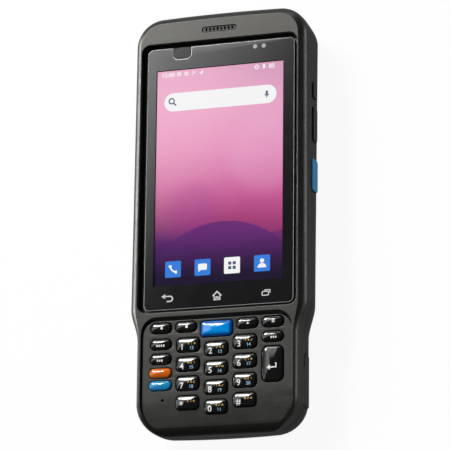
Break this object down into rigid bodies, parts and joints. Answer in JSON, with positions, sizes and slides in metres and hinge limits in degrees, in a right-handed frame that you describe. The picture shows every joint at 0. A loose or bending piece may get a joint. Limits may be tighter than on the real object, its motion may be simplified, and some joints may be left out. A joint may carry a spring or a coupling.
{
  "type": "portable barcode data terminal",
  "caption": "Rugged handheld data terminal: touch display above a numeric keypad with scan keys, scan window in the top end and a hinged battery cover in the back.",
  "frame": {"origin": "middle of the footprint, on the surface that the back rests on", "axes": "+X to the right of someone facing the display, +Y along the casing towards the earpiece, +Z out of the display"},
  "size_m": [0.0716, 0.167, 0.024],
  "materials": {
    "casing_grey": "fine textured dark warm grey",
    "casing_black": "fine textured near-black",
    "seal_rubber": "soft black",
    "touch_glass": "clear cover glass with a black printed border",
    "display": "lit colour picture",
    "camera_window": "polished black",
    "module_black": "moulded black",
    "module_metal": "plain stamped metal",
    "grille": "moulded black",
    "panel_grey": "fine textured dark grey",
    "keypad_rubber": "moulded grey silicone",
    "circuit_board": "green solder resist",
    "frame_aluminium": "bare cast",
    "scan_window": "polished dark red",
    "battery_wrap": "dark grey shrink wrap",
    "latch_black": "moulded black with ribs",
    "contact_brass": "gold-plated",
    "cover_rubber": "firm black elastomer",
    "pin_steel": "drawn wire",
    "side_key_black": "satin black",
    "key_black": "glossy black with printed digits and symbols",
    "enter_black": "satin black",
    "scan_blue": "glossy bright blue",
    "shift_orange": "glossy orange",
    "shift_blue": "glossy mid blue",
    "screw_steel": "black-oxide socket heads"
  },
  "bodies": {
    "casing": {"front_case": "casing_grey", "rear_case": "casing_black", "case_seal": "seal_rubber", "touch_glass": "touch_glass", "display_gasket": "seal_rubber", "display_module": "display", "front_camera_window": "camera_window", "front_camera": "module_black", "proximity_sensor": "module_black", "earpiece_grille": "grille", "earpiece_receiver": "module_metal", "keypad_panel": "panel_grey", "keypad_mat": "keypad_rubber", "keypad_board": "circuit_board", "inner_frame": "frame_aluminium", "main_board": "circuit_board", "scan_window": "scan_window", "scan_engine": "module_black", "rear_camera_window": "camera_window", "rear_camera": "module_black", "loudspeaker": "module_metal", "battery_pack": "battery_wrap", "battery_contacts": "contact_brass", "charge_contacts": "contact_brass", "usb_connector": "module_metal", "io_cover_pin": "pin_steel", "side_switches": "circuit_board", "vibration_motor": "module_metal", "case_screws": "screw_steel"},
    "battery_cover": {"battery_cover": "casing_black"},
    "battery_latch": {"battery_latch": "latch_black"},
    "io_cover": {"io_cover": "cover_rubber"},
    "power_key": {"power_key": "side_key_black"},
    "volume_key": {"volume_key": "side_key_black"},
    "scan_key_right": {"scan_key_right": "scan_blue"},
    "scan_key_left": {"scan_key_left": "scan_blue"},
    "key_soft_left": {"key_soft_left": "key_black"},
    "key_soft_mid_left": {"key_soft_mid_left": "key_black"},
    "key_scan": {"key_scan": "scan_blue"},
    "key_soft_mid_right": {"key_soft_mid_right": "key_black"},
    "key_soft_right": {"key_soft_right": "key_black"},
    "key_function_upper": {"key_function_upper": "key_black"},
    "key_function_lower": {"key_function_lower": "key_black"},
    "key_shift_orange": {"key_shift_orange": "shift_orange"},
    "key_shift_blue": {"key_shift_blue": "shift_blue"},
    "key_1": {"key_1": "key_black"},
    "key_2": {"key_2": "key_black"},
    "key_3": {"key_3": "key_black"},
    "key_4": {"key_4": "key_black"},
    "key_5": {"key_5": "key_black"},
    "key_6": {"key_6": "key_black"},
    "key_7": {"key_7": "key_black"},
    "key_8": {"key_8": "key_black"},
    "key_9": {"key_9": "key_black"},
    "key_star": {"key_star": "key_black"},
    "key_0": {"key_0": "key_black"},
    "key_hash": {"key_hash": "key_black"},
    "key_clear": {"key_clear": "key_black"},
    "key_enter": {"key_enter": "enter_black"}
  },
  "joints": [
    {"name": "battery_cover_hinge", "type": "hinge", "parent": "casing", "child": "battery_cover", "pos_m": [0, -0.0722, 0.001], "axis": [-1, 0, 0], "range_deg": [0, 40]},
    {"name": "battery_latch_slide", "type": "slide", "parent": "casing", "child": "battery_latch", "axis": [0, -1, 0], "range_m": [0, 0.0022]},
    {"name": "io_cover_hinge", "type": "hinge", "parent": "casing", "child": "io_cover", "pos_m": [0.03177, -0.0722, 0.01325], "axis": [0, 0, -1], "range_deg": [0, 95]},
    {"name": "power_key_press", "type": "slide", "parent": "casing", "child": "power_key", "axis": [-1, 0, 0], "range_m": [0, 0.0004], "stiffness_N_per_m": 500},
    {"name": "volume_key_press", "type": "slide", "parent": "casing", "child": "volume_key", "axis": [-1, 0, 0], "range_m": [0, 0.0004], "stiffness_N_per_m": 500},
    {"name": "scan_key_right_press", "type": "slide", "parent": "casing", "child": "scan_key_right", "axis": [-1, 0, 0], "range_m": [0, 0.0004], "stiffness_N_per_m": 500},
    {"name": "scan_key_left_press", "type": "slide", "parent": "casing", "child": "scan_key_left", "axis": [1, 0, 0], "range_m": [0, 0.0004], "stiffness_N_per_m": 500},
    {"name": "key_soft_left_press", "type": "slide", "parent": "casing", "child": "key_soft_left", "axis": [0, 0, -1], "range_m": [0, 0.0005], "stiffness_N_per_m": 400},
    {"name": "key_soft_mid_left_press", "type": "slide", "parent": "casing", "child": "key_soft_mid_left", "axis": [0, 0, -1], "range_m": [0, 0.0005], "stiffness_N_per_m": 400},
    {"name": "key_scan_press", "type": "slide", "parent": "casing", "child": "key_scan", "axis": [0, 0, -1], "range_m": [0, 0.0005], "stiffness_N_per_m": 400},
    {"name": "key_soft_mid_right_press", "type": "slide", "parent": "casing", "child": "key_soft_mid_right", "axis": [0, 0, -1], "range_m": [0, 0.0005], "stiffness_N_per_m": 400},
    {"name": "key_soft_right_press", "type": "slide", "parent": "casing", "child": "key_soft_right", "axis": [0, 0, -1], "range_m": [0, 0.0005], "stiffness_N_per_m": 400},
    {"name": "key_function_upper_press", "type": "slide", "parent": "casing", "child": "key_function_upper", "axis": [0, 0, -1], "range_m": [0, 0.0005], "stiffness_N_per_m": 400},
    {"name": "key_function_lower_press", "type": "slide", "parent": "casing", "child": "key_function_lower", "axis": [0, 0, -1], "range_m": [0, 0.0005], "stiffness_N_per_m": 400},
    {"name": "key_shift_orange_press", "type": "slide", "parent": "casing", "child": "key_shift_orange", "axis": [0, 0, -1], "range_m": [0, 0.0005], "stiffness_N_per_m": 400},
    {"name": "key_shift_blue_press", "type": "slide", "parent": "casing", "child": "key_shift_blue", "axis": [0, 0, -1], "range_m": [0, 0.0005], "stiffness_N_per_m": 400},
    {"name": "key_1_press", "type": "slide", "parent": "casing", "child": "key_1", "axis": [0, 0, -1], "range_m": [0, 0.0005], "stiffness_N_per_m": 400},
    {"name": "key_2_press", "type": "slide", "parent": "casing", "child": "key_2", "axis": [0, 0, -1], "range_m": [0, 0.0005], "stiffness_N_per_m": 400},
    {"name": "key_3_press", "type": "slide", "parent": "casing", "child": "key_3", "axis": [0, 0, -1], "range_m": [0, 0.0005], "stiffness_N_per_m": 400},
    {"name": "key_4_press", "type": "slide", "parent": "casing", "child": "key_4", "axis": [0, 0, -1], "range_m": [0, 0.0005], "stiffness_N_per_m": 400},
    {"name": "key_5_press", "type": "slide", "parent": "casing", "child": "key_5", "axis": [0, 0, -1], "range_m": [0, 0.0005], "stiffness_N_per_m": 400},
    {"name": "key_6_press", "type": "slide", "parent": "casing", "child": "key_6", "axis": [0, 0, -1], "range_m": [0, 0.0005], "stiffness_N_per_m": 400},
    {"name": "key_7_press", "type": "slide", "parent": "casing", "child": "key_7", "axis": [0, 0, -1], "range_m": [0, 0.0005], "stiffness_N_per_m": 400},
    {"name": "key_8_press", "type": "slide", "parent": "casing", "child": "key_8", "axis": [0, 0, -1], "range_m": [0, 0.0005], "stiffness_N_per_m": 400},
    {"name": "key_9_press", "type": "slide", "parent": "casing", "child": "key_9", "axis": [0, 0, -1], "range_m": [0, 0.0005], "stiffness_N_per_m": 400},
    {"name": "key_star_press", "type": "slide", "parent": "casing", "child": "key_star", "axis": [0, 0, -1], "range_m": [0, 0.0005], "stiffness_N_per_m": 400},
    {"name": "key_0_press", "type": "slide", "parent": "casing", "child": "key_0", "axis": [0, 0, -1], "range_m": [0, 0.0005], "stiffness_N_per_m": 400},
    {"name": "key_hash_press", "type": "slide", "parent": "casing", "child": "key_hash", "axis": [0, 0, -1], "range_m": [0, 0.0005], "stiffness_N_per_m": 400},
    {"name": "key_clear_press", "type": "slide", "parent": "casing", "child": "key_clear", "axis": [0, 0, -1], "range_m": [0, 0.0005], "stiffness_N_per_m": 400},
    {"name": "key_enter_press", "type": "slide", "parent": "casing", "child": "key_enter", "axis": [0, 0, -1], "range_m": [0, 0.0005], "stiffness_N_per_m": 400}
  ]
}
